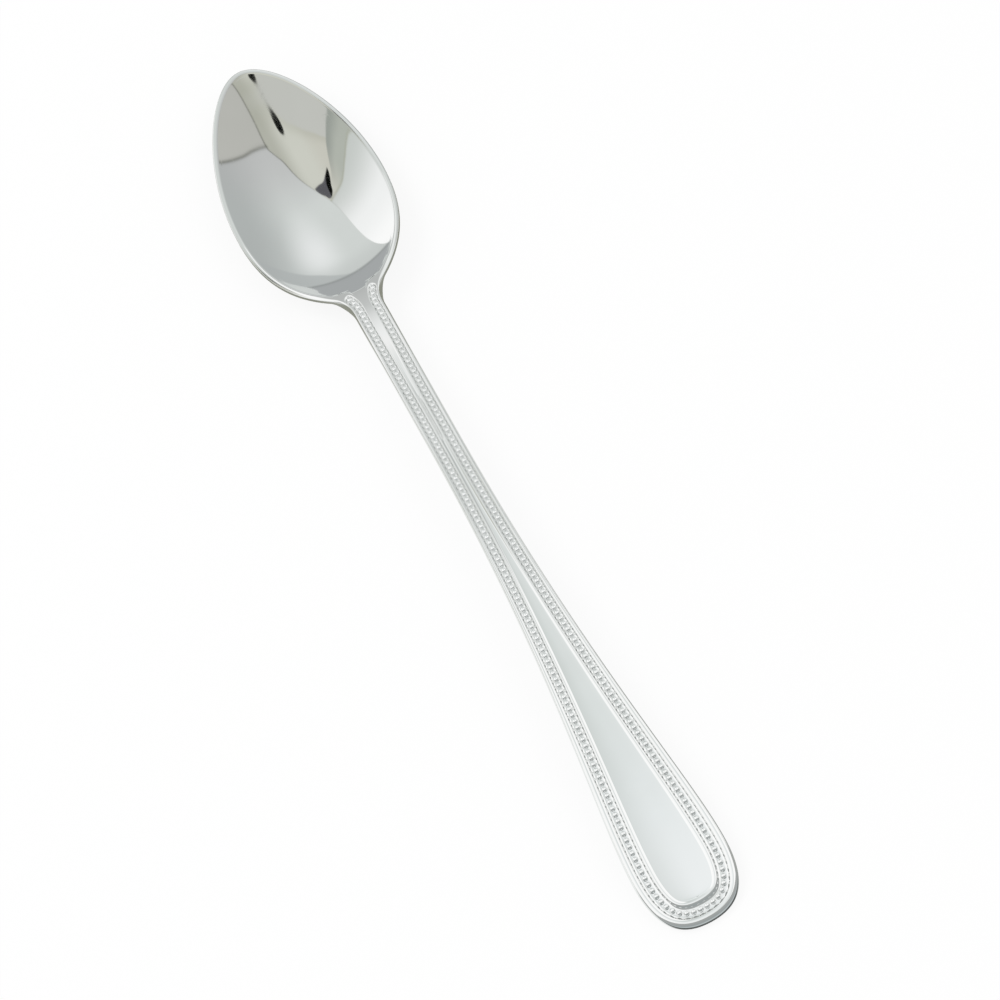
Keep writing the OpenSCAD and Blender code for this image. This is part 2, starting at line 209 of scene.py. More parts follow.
def hermite(a, b, y):
    """Height at y on the curve between two knots of place, height and slope."""
    d = b[0] - a[0]
    u = (y - a[0]) / d
    return (a[1] * (1 + 2 * u) * (1 - u) ** 2 + a[2] * d * u * (1 - u) ** 2
            + b[1] * u * u * (3 - 2 * u) - b[2] * d * u * u * (1 - u))


def side_table():
    """The top edge's height over the spoon's length, softened where its curves meet."""
    step, beyond = 0.25, 30.0
    y = np.arange(-beyond, TOTAL_L + beyond + step, step)
    z = np.zeros_like(y)
    for a, b in zip(SIDE_KNOTS[:-1], SIDE_KNOTS[1:]):
        here = (y >= a[0]) & (y <= b[0])
        z[here] = hermite(a, b, y[here])
    first, last = SIDE_KNOTS[0], SIDE_KNOTS[-1]
    z[y < 0] = first[1] + first[2] * y[y < 0]
    over = y > TOTAL_L
    z[over] = last[1] + last[2] * (y[over] - TOTAL_L)
    return y, softened(z, SIDE_SOFT, step)


SIDE_Y, SIDE_Z = side_table()
EDGE, INWARD, RUN, STOP = soft_outline()
STOP_RUN = float(np.interp(STOP[1], EDGE[:, 1], RUN))


def edge_z(y):
    return np.interp(y, SIDE_Y, SIDE_Z)


def thickness(y):
    """The metal's thickness along handle and neck."""
    return np.where(y < SHANK_Y, mix(END_T, SHANK_T, ease(y / SHANK_Y)),
                    mix(SHANK_T, NECK_T, ease((y - SHANK_Y) / (NECK_Y - SHANK_Y))))


# ---- the border's widths at each station


def grown(at_end, on_shank, at_neck):
    """A border width at each station, from its sizes at the end, on the shank and at the neck."""
    x, y = EDGE[:, 0], EDGE[:, 1]
    taper = mix(on_shank, at_end, (x - SHANK_W / 2) / (END_W / 2 - SHANK_W / 2))
    neck = mix(on_shank, at_neck, ease((y - TONGUE_Y) / (STOP[1] - TONGUE_Y)))
    return np.where(y <= END_WIDEST, at_end, np.where(y <= SHANK_Y, taper, neck))


RIM_WIDTH = grown(END_RIM_W, SHANK_RIM_W, NECK_RIM_W)
CHANNEL_WIDTH = grown(END_CHANNEL_W, SHANK_CHANNEL_W, NECK_CHANNEL_W)
RIDGE_WIDTH = grown(END_RIDGE_W, SHANK_RIDGE_W, NECK_RIDGE_W)
BORDER_WIDTH = RIM_WIDTH + CHANNEL_WIDTH + RIDGE_WIDTH
IN_BOWL = ease((RUN - STOP_RUN) / TO_BOWL_L)
INNER_HALF = BOWL_W / 2 - LIP_W
FLARE = np.where(EDGE[:, 1] < NECK_Y, 0, (EDGE[:, 0] - SHANK_W / 2) / THIN_OUT_W)
FLARE[EDGE[:, 1] > WIDEST_Y] = 1
EDGE_T = mix(thickness(np.minimum(EDGE[:, 1], NECK_Y)), LIP_T, ease(FLARE))

# The dish's edge, as half width against Y
stop_border = float(np.interp(STOP_RUN, RUN, BORDER_WIDTH))
draw_in = ease((EDGE[:, 1] - STOP[1]) / DRAW_IN_L)
DISH_EDGE = EDGE + INWARD * mix(stop_border, LIP_W, draw_in)[:, None]
HOLLOW_Y = float(np.interp(STOP_RUN, RUN, DISH_EDGE[:, 1]))
bowl_part = RUN >= STOP_RUN
DISH_EDGE = DISH_EDGE[bowl_part]
DISH_EDGE = DISH_EDGE[np.argsort(DISH_EDGE[:, 1])]


def dish_half(y):
    return np.sqrt(np.interp(y, DISH_EDGE[:, 1], DISH_EDGE[:, 0] ** 2, right=0.0))


def sunk(x, y):
    """How far the dish has sunk: 0 on its edge and 1 at the deepest place."""
    w = dish_half(y)
    out = np.clip(1 - np.maximum(w * w - x * x, 0) / INNER_HALF**2, 0, 1)
    return 1 - out ** (BOWL_FULLNESS / 2), out


# Towards the tongue the heel rises straight from MEET_Y and rounds over into the tongue
MEET_Y = NECK_Y + MEET_L
meet_depth = BOWL_DEPTH * float(sunk(0.0, MEET_Y)[0])
TONGUE_EDGE = (EDGE + INWARD * BORDER_WIDTH[:, None])[(EDGE[:, 1] > SHANK_Y) & ~bowl_part]


def hollow_half(y):
    """Half width of the hollow: the tongue's up to the bowl, then the dish's own."""
    tongue = np.interp(y, TONGUE_EDGE[:, 1], TONGUE_EDGE[:, 0])
    return np.maximum(np.where(y < HOLLOW_Y, tongue, dish_half(y)), 1e-6)


def dip(x, y):
    """Depth of the hollow under the edge's height, in bowl and tongue."""
    half = hollow_half(y)
    share = np.clip(np.abs(x) / half, 0, 1)
    straight = meet_depth + HEEL_FALL * (y - MEET_Y)
    rounded = lifted(straight, HEEL_ROUND) + meet_depth - lifted(meet_depth, HEEL_ROUND)
    in_dish = ease((y - HOLLOW_Y) / (MEET_Y - HOLLOW_Y))
    rounded = np.maximum(rounded, 0)
    # curved across as the dish is, or less, so that it never stands steeper than the dish
    dish_bend, own_bend = BOWL_DEPTH / INNER_HALF**2, rounded / half**2
    bend = 0.5 * (dish_bend + own_bend - np.hypot(dish_bend - own_bend, BEND_BLEND) + BEND_BLEND)
    bend = np.minimum(bend, own_bend)
    flat = 1 - share ** mix(TONGUE_FLAT, DISH_FLAT, in_dish)
    heel = (rounded - bend * np.minimum(x * x, half * half)) * flat
    return np.where(y < MEET_Y, heel, BOWL_DEPTH * sunk(x, y)[0])


def top_field(x, y):
    """Height of the top surface of bowl and neck, apart from the stamped border."""
    return edge_z(y) - dip(x, y)


def under_field(x, y, edge_t):
    """Height of the underside, thick in the middle of the neck and thin at its edges."""
    deep, out = sunk(x, y)
    dished = BOWL_DEPTH * deep + mix(BOWL_WALL, RIM_WALL, out**2)
    off = np.clip(x / (SHANK_W * KEEL_SHARE), -1, 1)
    keel_share = (1 - off**2) ** 2 * (1 - ease((y - MEET_Y) / KEEL_FADE_L))
    keel = mix(edge_t, thickness(np.minimum(y, NECK_Y)), keel_share)
    over = dished - keel
    run_out = ease((y - HOLLOW_Y) / KEEL_L)
    return lifted(edge_z(y) - keel - run_out * lifted(over, UNDER_SOFT), REST_SOFT)


def oval(v):
    """Height of a half round over a place from -1 to 1."""
    return np.sqrt(np.clip(1 - v * v, 0, 1))


# The beads' lane along the middle of the channel, and the place of its last bead
LANE = EDGE + INWARD * (RIM_WIDTH + CHANNEL_WIDTH / 2)[:, None]
LANE = np.column_stack([LANE, edge_z(LANE[:, 1]) - CHANNEL_DEPTH])
LANE_RUN = np.concatenate([[0], np.cumsum(np.linalg.norm(np.diff(LANE, axis=0), axis=1))])
LANE_END = float(np.interp(STOP_RUN, RUN, LANE_RUN))
BEAD_COUNT = int((LANE_END - BEAD_D / 2) / BEAD_PITCH - FIRST_BEAD) + 1
LAST_BEAD = (BEAD_COUNT - 1 + FIRST_BEAD) * BEAD_PITCH


def stamped(d, k, tongue):
    """Height of the stamped border and panel at inset d from station k, from the rim's top."""
    rim, channel, ridge = RIM_WIDTH[k], CHANNEL_WIDTH[k], RIDGE_WIDTH[k]
    floor = -CHANNEL_DEPTH
    crown = np.where(d < rim / 2, 0.0, floor + CHANNEL_DEPTH * oval((d - rim / 2) / (rim / 2)))
    past = LANE_RUN[k] - LAST_BEAD
    if past > 0:
        # the ridge curls round the last bead and closes the channel
        lane = rim + channel / 2
        d = lane + np.hypot(d - lane, past)
    middle = rim + channel + ridge / 2
    line = floor + RIDGE_H * oval((d - middle) / (ridge / 2))
    h = np.where(d > middle, np.maximum(line, floor + tongue), line)
    return np.maximum(crown, h)


def panel_height(y):
    """Height of the smooth panel or tongue above the channel's floor along the handle."""
    rise = ease((y - TONGUE_Y) / (STOP[1] - TONGUE_Y))
    bare = [ease((y - at + STEP_L / 2) / STEP_L) for at in (SHANK_Y, TONGUE_Y)]
    height = np.where(y < (SHANK_Y + TONGUE_Y) / 2, PANEL_H, mix(PANEL_H, CHANNEL_DEPTH, rise))
    return height * (1 - bare[0] * (1 - bare[1]))


def spread(a, b, count, ends=(False, False)):
    """Shares from a to b, crowded at the ends that are marked."""
    u = np.linspace(0, 1, count + 1)[1:]
    if ends == (True, True):
        u = (1 - np.cos(np.pi * u)) / 2
    elif ends[1]:
        u = np.sin(np.pi / 2 * u)
    elif ends[0]:
        u = 1 - np.cos(np.pi / 2 * u)
    return mix(a, b, u)


# Steps of the mesh round a section, and the narrow strips inside the border and the lip
ROLL_STEPS, HALF_STEPS, UNDER_STEPS, LOW_STEPS = 8, 26, 16, 4
RIM_STEPS, CHANNEL_STEPS, RIDGE_STEPS, CREASE_TAPS = 7, 6, 11, 5
STRIP_W, STRIP_SHARE, LIP_STRIP_W = 0.12, 0.6, 0.6


def spoon_rows():
    """Rows of points round the spoon at each station: over the top and back underneath."""
    rows = []
    for k in range(len(EDGE)):
        y0 = EDGE[k, 1]
        bowl, t = IN_BOWL[k], EDGE_T[k]
        rim, channel, ridge = RIM_WIDTH[k], CHANNEL_WIDTH[k], RIDGE_WIDTH[k]
        border_w = rim + channel + ridge
        roll_w = mix(rim / 2, LIP_ROUND_W, bowl)
        roll_h = mix(min(RIM_ROLL, ROLL_SHARE * t), LIP_ROUND_H, bowl)
        spare = (EDGE[k] + INWARD[k] * border_w)[0]
        past = border_w + min(STRIP_W, STRIP_SHARE * spare if y0 > END_WIDEST else STRIP_W)
        drawn = mix(stop_border, LIP_W, ease((y0 - STOP[1]) / DRAW_IN_L))
        reach = past if RUN[k] < STOP_RUN else drawn + mix(STRIP_W, LIP_STRIP_W, bowl)
        in_handle = np.concatenate([
            spread(rim / 2, rim, RIM_STEPS, (False, True)),
            spread(rim, rim + channel, CHANNEL_STEPS),
            spread(rim + channel, border_w, RIDGE_STEPS, (True, True)),
            spread(border_w, past, 1)])
        in_bowl = spread(roll_w, reach, len(in_handle))
        d = mix(in_handle, in_bowl, bowl)
        d = roll_w + (d - roll_w) * (reach - roll_w) / (d[-1] - roll_w)
        places = EDGE[k] + INWARD[k] * d[:, None]
        panel = panel_height(y0)
        border = np.mean([stamped(d + o, k, panel)
                          for o in np.linspace(-1, 1, CREASE_TAPS) * CREASE_SOFT], 0)
        strength = 1 - ease((RUN[k] - STOP_RUN - RELIEF_FADE_L) / RELIEF_FADE_L)
        level = edge_z(places[:, 1])
        dish = np.mean([top_field(*(EDGE[k] + INWARD[k] * (d + o)[:, None]).T) - level
                        for o in np.linspace(-1, 1, CREASE_TAPS) * DISH_SOFT], 0)
        top = level + dish + strength * border
        a = np.radians(np.linspace(90, 0, ROLL_STEPS + 1))
        roll_d, roll_z = roll_w * (1 - np.sin(a)), -roll_h * (1 - np.cos(a))
        roll = EDGE[k] + INWARD[k] * roll_d[:, None]
        right_top = np.vstack([np.column_stack([roll, edge_z(roll[:, 1]) + roll_z]),
                               np.column_stack([places, top])])
        # from the right-hand border's inner end to the middle line
        half, y = places[-1]
        share = np.sin(np.pi / 2 * np.linspace(1, 0, HALF_STEPS + 1))[1:]
        x = half * share
        across = np.full_like(x, y)
        widest = END_W / 2 - END_RIM_W - END_CHANNEL_W - END_RIDGE_W
        hollow = PANEL_DISH * min(1, half / widest) * (1 - share**2)
        hollow = hollow * (1 - ease((y0 - SHANK_Y) / STEP_L))
        flat = edge_z(across) - CHANNEL_DEPTH + panel - hollow - dip(x, across)
        ended = ease((RUN[k] - STOP_RUN + PANEL_OUT_L) / PANEL_OUT_L)
        inner = mix(top_field(x, across), flat, 1 - ended)
        right_top = np.vstack([right_top, np.column_stack([x, across, inner])])
        # underside
        reach_low = mix(rim, reach, bowl)
        d_low = spread(roll_w, reach_low, LOW_STEPS)
        low = EDGE[k] + INWARD[k] * d_low[:, None]
        low_end = under_field(low[-1:, 0], low[-1:, 1], t)[0]
        low_z = mix(edge_z(low[:, 1]) - t, low_end, (d_low - roll_w) / (reach_low - roll_w))
        low_roll = np.column_stack([roll, np.maximum(0, edge_z(roll[:, 1]) - t - roll_z)])
        half_low, y_low = low[-1]
        share_low = np.linspace(1, 0, UNDER_STEPS + 1)[1:]
        x_low = half_low * share_low
        across_low = np.full_like(x_low, y_low)
        right_low = np.vstack([low_roll, np.column_stack([low, low_z]),
                               np.column_stack([x_low, across_low,
                                                under_field(x_low, across_low, t)])])
        flip = np.array([-1, 1, 1])
        rows.append(np.vstack([right_top, (right_top * flip)[-2::-1],
                               right_low * flip, right_low[-2::-1]]))
    return np.array(rows)


def linked(name, data):
    """A new object of this name in the scene."""
    body = bpy.data.objects.new(name, data)
    scene.collection.objects.link(body)
    return body


# Points are one where they round to the same step, in steps per millimetre
WELD_STEPS = 1e4


def closed_mesh(name, rows):
    """A closed skin over rows of points that come together at the first and last row."""
    count, n = rows.shape[:2]
    points = rows.reshape(-1, 3) - [0, MIDDLE_Y, 0]
    k, i = np.meshgrid(np.arange(count - 1), np.arange(n), indexing="ij")
    j = (i + 1) % n
    quads = np.stack([k * n + i, k * n + j, (k + 1) * n + j, (k + 1) * n + i], -1).reshape(-1, 4)
    index, lookup = np.unique(np.round(points * WELD_STEPS).astype(np.int64), axis=0,
                              return_index=True, return_inverse=True)[1:]
    faces = []
    for q in lookup.ravel()[quads]:
        f = [v for s, v in enumerate(q) if v != q[s - 1]]
        if len(set(f)) == len(f) and len(f) > 2:
            faces.append(f)
    mesh = bpy.data.meshes.new(name)
    mesh.from_pydata((points[index] * MM).tolist(), [], faces)
    mesh.validate()
    mesh.shade_smooth()
    return linked(name, mesh)


# Bends per millimetre where edge wear and the painted shade of recesses begin and are full
BEND_FROM, BEND_FULL = 0.5, 3.0


def bend_masks(body):
    """Two masks on the mesh's points: how sharply it bends outward, and how sharply inward."""
    mesh = body.data
    points = np.zeros(len(mesh.vertices) * 3)
    normals = np.zeros_like(points)
    mesh.vertices.foreach_get("co", points)
    mesh.vertex_normals.foreach_get("vector", normals)
    points, normals = points.reshape(-1, 3) / MM, normals.reshape(-1, 3)
    pairs = np.zeros(len(mesh.edges) * 2, int)
    mesh.edges.foreach_get("vertices", pairs)
    pairs = pairs.reshape(-1, 2)
    pairs = np.vstack([pairs, pairs[:, ::-1]])
    way = points[pairs[:, 1]] - points[pairs[:, 0]]
    bend = 2 * np.sum(way * normals[pairs[:, 0]], axis=1)
    bend /= np.maximum(np.sum(way * way, axis=1), 1e-4)
    # the inward mask gives recesses painted shade and a duller polish; the outward one marks edge
    # wear
    for name, sign in (("crest", -1), ("valley", 1)):
        most = np.zeros(len(points))
        np.maximum.at(most, pairs[:, 0], sign * bend)
        mask = mesh.attributes.new(name, "FLOAT", "POINT")
        mask.data.foreach_set("value", ease((most - BEND_FROM) / (BEND_FULL - BEND_FROM)))


spoon = closed_mesh("spoon_body", spoon_rows())
bend_masks(spoon)

# ---- camera

AZIMUTH, ELEVATION, ROLL = (math.radians(a) for a in (-3.0, 59.0, 25.77))
DISTANCE = 0.9
TARGET = Vector((0.0, 0.0, 0.006))
back = Vector((math.sin(AZIMUTH) * math.cos(ELEVATION), -math.cos(AZIMUTH) * math.cos(ELEVATION),
               math.sin(ELEVATION)))
level = Vector((math.cos(AZIMUTH), math.sin(AZIMUTH), 0))
up0 = back.cross(level)
right = level * math.cos(ROLL) - up0 * math.sin(ROLL)
up = level * math.sin(ROLL) + up0 * math.cos(ROLL)
# the spoon's middle sits a little up and left of the picture's middle
PICTURE, SENSOR, PIXELS_PER_MM = 1000, 36, 5.7469
PIXEL = MM / PIXELS_PER_MM
OFF_X, OFF_Y = -39.96, -29.11
camera = linked("camera", bpy.data.cameras.new("camera"))
camera.data.sensor_width = SENSOR
camera.data.lens = SENSOR * DISTANCE / (PICTURE * PIXEL)
camera.matrix_world = Matrix((right, up, back)).transposed().to_4x4()
camera.location = TARGET + back * DISTANCE
camera.data.shift_x = -OFF_X / PICTURE
camera.data.shift_y = OFF_Y / PICTURE
scene.camera = camera

# ---- node helpers


def feed(tree, socket, value):
    """Gives an input a value or another node's output."""
    if isinstance(value, bpy.types.NodeSocket):
        tree.links.new(value, socket)
    elif value is not None:
        socket.default_value = value


def add(tree, kind, *inputs, out=0, **settings):
    """A node with its settings, and its inputs in turn; None leaves one as it is."""
    made = tree.nodes.new(kind)
    for key, value in settings.items():
        setattr(made, key, value)
    for socket, value in zip(made.inputs, inputs):
        feed(tree, socket, value)
    return made.outputs[out]


def maths(tree, operation, *inputs):
    return add(tree, "ShaderNodeMath", *inputs, operation=operation)


def times(tree, a, b):
    return maths(tree, "MULTIPLY", a, b)


def rest(tree, share):
    """What a share leaves of one."""
    return maths(tree, "SUBTRACT", 1.0, share)


def ramp(tree, value, low, high):
    """Share of the way from low to high, with soft ends."""
    return add(tree, "ShaderNodeMapRange", value, low, high, 0.0, 1.0,
               interpolation_type="SMOOTHSTEP")


def blend(tree, share, below, above):
    made = tree.nodes.new("ShaderNodeMix")
    made.data_type = "RGBA"
    for index, value in ((0, share), (6, below), (7, above)):
        feed(tree, made.inputs[index], value)
    return made.outputs[2]


def parts_of(tree, vector):
    """A vector's x, y and z."""
    return add(tree, "ShaderNodeSeparateXYZ", vector).node.outputs


def own_place(tree):
    """Each point's place in its object's own coordinates."""
    return tree.nodes.new("ShaderNodeTexCoord").outputs["Object"]


def noise(tree, spot, scale, detail, roughness, distortion=0.0):
    return add(tree, "ShaderNodeTexNoise", spot, None, scale, detail, roughness,
               None, None, None, distortion)


def bare_material(name):
    """A new material without nodes, and its tree."""
    material = bpy.data.materials.new(name)
    material.use_nodes = True
    material.node_tree.nodes.clear()
    return material, material.node_tree


def show(tree, surface):
    """Links a surface to the material's output."""
    end = tree.nodes.new("ShaderNodeOutputMaterial")
    tree.links.new(surface, end.inputs["Surface"])


ORIGIN = (0.0, 0.0, 0.0)
SOCKETS = {float: "NodeSocketFloat", tuple: "NodeSocketVector"}


def shader_group(name, inputs, outputs):
    """Makes a group with named sockets of a function that turns its inputs into its outputs."""
    def make(build):
        tree = bpy.data.node_groups.new(name, "ShaderNodeTree")
        for label, value in inputs.items():
            kind = SOCKETS[type(value)]
            socket = tree.interface.new_socket(label, in_out="INPUT", socket_type=kind)
            socket.default_value = value
        for label in outputs:
            tree.interface.new_socket(label, in_out="OUTPUT", socket_type="NodeSocketFloat")
        start, end = tree.nodes.new("NodeGroupInput"), tree.nodes.new("NodeGroupOutput")
        for value, socket in zip(build(tree, *start.outputs[:len(inputs)]), end.inputs):
            tree.links.new(value, socket)
        return tree
    return make


def place(tree, group, **inputs):
    """A placed group, its inputs named with underscores for spaces."""
    made = tree.nodes.new("ShaderNodeGroup")
    made.node_tree = group
    for key, value in inputs.items():
        feed(tree, made.inputs[key.replace("_", " ")], value)
    return made.outputs


# ---- studio: a dome that only the polished metal sees, a pale floor and soft lamps

STEEL_TONE = 0.86
DOME_CENTRE = Vector((0, 0.064, 0.008))
DOME_RADIUS, DOME_DETAIL = 0.6, 5


def seen(red, green, blue):
    """Light that the polished steel shows as this screen colour."""
    screen = np.array([red, green, blue]) / 255
    linear = np.where(screen > 0.04045, ((screen + 0.055) / 1.055) ** 2.4, screen / 12.92)
    return (*(linear / STEEL_TONE).tolist(), 1.0)


def painted(tree, colour, *layers):
    """A colour with screen colours laid over it in turn, each covering where its mask is one."""
    for mask, tone in layers:
        colour = blend(tree, mask, colour, seen(*tone))
    return colour


def glossy_only(body):
    """Leaves a stage piece to reflections alone."""
    for flag in ("camera", "diffuse", "transmission", "volume_scatter", "shadow"):
        setattr(body, "visible_" + flag, False)


@shader_group("studio_plan", {"Place": ORIGIN}, ["Across", "Ahead"])
def plan_group(tree, spot):
    """Degrees from straight overhead, across the spoon and ahead along it."""
    x, y, z = parts_of(tree, add(tree, "ShaderNodeVectorMath", spot, operation="NORMALIZE"))
    fall = times(tree, maths(tree, "ARCCOSINE", z), math.degrees(1))
    square = maths(tree, "ADD", times(tree, x, x), maths(tree, "MULTIPLY_ADD", y, y, 1e-8))
    share = maths(tree, "DIVIDE", fall, maths(tree, "SQRT", square))
    return times(tree, x, share), times(tree, y, share)


@shader_group("soft_stripe", {"Value": 0.0, "Edge": 0.0, "Width": 1.0}, ["Mask"])
def stripe_group(tree, value, edge, width):
    """A soft line of some width where a value is near an edge."""
    off = maths(tree, "DIVIDE", maths(tree, "SUBTRACT", value, edge), width)
    return [maths(tree, "EXPONENT", times(tree, times(tree, off, off), -1.0))]


@shader_group("soft_side", {"Value": 0.0, "Edge": 0.0, "Softness": 1.0}, ["Mask"])
def side_group(tree, value, edge, softness):
    """One beyond an edge and nothing before it, with a soft step."""
    half = times(tree, softness, 0.5)
    low, high = maths(tree, "SUBTRACT", edge, half), maths(tree, "ADD", edge, half)
    return [ramp(tree, value, low, high)]


@shader_group("soft_pool", {"Across": 0.0, "Ahead": 0.0, "Middle Across": 0.0,
                            "Middle Ahead": 0.0, "Reach Across": 10.0, "Reach Ahead": 10.0,
                            "Softness": 0.3}, ["Mask"])
def pool_group(tree, across, ahead, middle_u, middle_v, reach_u, reach_v, softness):
    """A soft-edged oval pool round a place of the plan."""
    u = maths(tree, "DIVIDE", maths(tree, "SUBTRACT", across, middle_u), reach_u)
    v = maths(tree, "DIVIDE", maths(tree, "SUBTRACT", ahead, middle_v), reach_v)
    away = maths(tree, "SQRT", maths(tree, "ADD", times(tree, u, u), times(tree, v, v)))
    inner, outer = rest(tree, softness), maths(tree, "ADD", 1.0, softness)
    return [rest(tree, ramp(tree, away, inner, outer))]


def drawn(tree, value, points):
    """The edge of a studio panel as a smooth curve through points, in degrees."""
    xs, ys = zip(*points)
    low, high = min(ys), max(ys)
    share = add(tree, "ShaderNodeMapRange", value, xs[0], xs[-1], 0.0, 1.0)
    curve = tree.nodes.new("ShaderNodeFloatCurve")
    line = curve.mapping.curves[0]
    spots = [((x - xs[0]) / (xs[-1] - xs[0]), (y - low) / (high - low)) for x, y in points]
    line.points[0].location, line.points[1].location = spots[0], spots[-1]
    for spot in spots[1:-1]:
        line.points.new(*spot)
    curve.mapping.update()
    tree.links.new(share, curve.inputs["Value"])
    return maths(tree, "MULTIPLY_ADD", curve.outputs[0], high - low, low)


# Where the studio's panels meet, as pairs of places in degrees of the plan. The colours laid
# on the dome are screen colours, and its ramps, ovals and softnesses are in degrees too.
WALL_SEAM = [(-12, 11), (1.5, 10.3), (3.5, 11.2), (5.4, 12.1), (7, 12.3), (8.2, 10.3), (9.6, 7.2),
             (11.3, 4.1), (15.2, 0.7), (19.3, -3.8), (23.8, -9.8), (27.8, -14.5), (31.9, -18.6),
             (36.3, -21.6), (42, -23.6), (49, -24.8), (58, -26.0), (67, -27.6), (75.5, -30.6),
             (81, -36)]
BRANCH_SEAM = [(10, 6.7), (22.8, 7.7), (36, 10.5), (54.7, 16.6), (75, 26)]
SCREEN_EDGE = [(-75, 33), (-61, 28.2), (-57, 26.9), (-49, 27.8), (-41, 29.8), (-36, 30.9),
               (-24, 31.5), (-14, 33)]
CEILING_EDGE = [(-60, 29), (-50, 22), (-42.3, 17.1), (-36, 13.1), (-29, 9.7), (-24, 7.4),
                (-18.7, 5.5), (-15, 4.0), (-12.5, 2.7), (-8, 1.7), (8, 1.2)]
BAND_EDGE = [(-75, 19), (-53, 17.3), (-50, 17.1), (-46, 17.5), (-42, 18.4), (-39, 19.8),
             (-36, 21.9), (-33, 24.4), (-29, 26.6), (-20, 30)]
GAP_TOP = [(-32, 22), (-30, 24.9), (-27, 27.4), (-24.5, 30), (-20, 31.1), (-16.6, 28.9),
           (-13, 26.5), (-10.5, 23.8)]
GAP_FOOT = [(-32, 22), (-25.4, 23.4), (-21, 24.1), (-16, 23.7), (-10.5, 23.8)]
GAP_SPLIT = [(21.5, -31), (24.2, -25.2), (25.8, -23.3), (28.5, -22.2), (32, -21.5)]
LIGHT_EDGE = [(-10, 82), (1.3, 80.2), (8.7, 78.2), (16.5, 75.6), (24, 72.8), (32.5, 70.4),
              (38, 68.5), (60, 58)]
HORIZON = 80.7


def dome_material():
    material, tree = bare_material("studio_dome")
    centred = add(tree, "ShaderNodeVectorMath", own_place(tree), DOME_CENTRE,
                  operation="SUBTRACT")
    across, ahead = place(tree, plan_group, Place=centred)
    seam = drawn(tree, ahead, WALL_SEAM)
    branch, screen, ceiling, band, light_end, gap_top, gap_foot = (
        drawn(tree, across, edge) for edge in (
            BRANCH_SEAM, SCREEN_EDGE, CEILING_EDGE, BAND_EDGE, LIGHT_EDGE, GAP_TOP, GAP_FOOT))

    def beyond(value, edge, softness):
        return place(tree, side_group, Value=value, Edge=edge, Softness=softness)[0]

    def line(value, edge, width):
        return place(tree, stripe_group, Value=value, Edge=edge, Width=width)[0]

    def oval_pool(u, v, reach_u, reach_v, softness):
        return place(tree, pool_group, Across=across, Ahead=ahead, Middle_Across=u,
                     Middle_Ahead=v, Reach_Across=reach_u, Reach_Ahead=reach_v,
                     Softness=softness)[0]

    def both(*masks):
        """Masks and shares multiplied together."""
        result = masks[0]
        for mask in masks[1:]:
            result = times(tree, result, mask)
        return result

    def short_of(value, edge, softness):
        return rest(tree, beyond(value, edge, softness))

    # right-hand wall, with a soft light on it, and the lower right-hand panel
    colour = painted(
        tree, seen(206, 210, 208),
        (ramp(tree, across, 16.0, 62.0), (173, 177, 176)),
        (both(ramp(tree, ahead, 34.0, 8.0), 0.6), (174, 173, 174)),
        (both(oval_pool(18.0, 54.0, 15.0, 15.5, 0.95), 0.62), (238, 239, 240)),
        (both(ramp(tree, ahead, 63.0, 80.0), 0.4), (180, 183, 182)),
        (both(beyond(ahead, light_end, 2.0), 0.75), (172, 176, 176)),
        (short_of(ahead, branch, 0.5), (181, 181, 176)))
    # left-hand side: ceiling, a blue-grey band and the bright screen
    left = short_of(across, seam, 0.6)
    cream = painted(
        tree, seen(176, 177, 167),
        (ramp(tree, across, 7.0, -12.0), (201, 202, 193)),
        (both(ramp(tree, across, -19.0, -36.0), 0.6), (193, 191, 181)),
        (both(line(ahead, ceiling, 2.2), 0.35), (162, 163, 150)),
        (short_of(ahead, ceiling, 1.0), (190, 191, 186)))
    colour = blend(tree, left, colour, cream)
    grey = blend(tree, ramp(tree, maths(tree, "SUBTRACT", ahead, band), 0.0, 6.0),
                 seen(150, 155, 149), seen(174, 178, 170))
    near = ramp(tree, across, -24.0, -44.0)
    colour = blend(tree, both(left, near, beyond(ahead, band, 0.8)), colour, grey)
    bright = painted(
        tree, seen(196, 200, 197),
        (ramp(tree, ahead, 28.0, 52.0), (238, 239, 239)),
        (ramp(tree, ahead, 50.0, 80.0), (250, 250, 250)))
    colour = blend(tree, both(left, beyond(ahead, screen, 0.7)), colour, bright)
    # dark joints between the panels
    fade = maths(tree, "MULTIPLY_ADD", ramp(tree, ahead, 32.0, 8.0), 0.5, 0.12)
    above = ramp(tree, ahead, 46.0, 34.0)
    reach = beyond(across, 11.0, 3.0)
    colour = painted(
        tree, colour,
        (both(left, line(ahead, screen, 0.6), 0.5), (158, 159, 142)),
        (both(line(across, seam, 0.7), fade, above), (84, 85, 78)),
        (both(line(ahead, branch, 0.35), reach, 0.7), (95, 96, 88)))
    # dark gaps
    black = seen(12, 14, 12)
    colour = blend(tree, oval_pool(-10.1, 4.3, 3.1, 1.95, 0.1), colour, black)
    gap = both(beyond(ahead, gap_foot, 0.7), short_of(ahead, gap_top, 0.7),
               beyond(across, -31.5, 1.0), short_of(across, -11.0, 1.0))
    split = beyond(across, drawn(tree, ahead, GAP_SPLIT), 0.9)
    colour = blend(tree, gap, colour, painted(tree, black, (split, (88, 88, 92))))
    low = ramp(tree, maths(tree, "ABSOLUTE", across), 66.0, 75.0)
    colour = painted(
        tree, colour,
        # pale panels low on both sides
        (both(low, short_of(ahead, 60.0, 12.0)), (243, 245, 245)),
        # the dim room behind the camera
        (ramp(tree, ahead, -3.0, -14.0), (163, 165, 164)),
        # the table's far edge, and darker towards the horizon behind
        (beyond(ahead, HORIZON, 0.9), (162, 165, 166)),
        (both(line(ahead, HORIZON, 0.6), 0.4), (112, 116, 114)),
        (both(ramp(tree, ahead, -35.0, -88.0), 0.8), (150, 157, 158)))
    show(tree, add(tree, "ShaderNodeEmission", colour, 1.0))
    material.cycles.emission_sampling = "NONE"
    return material


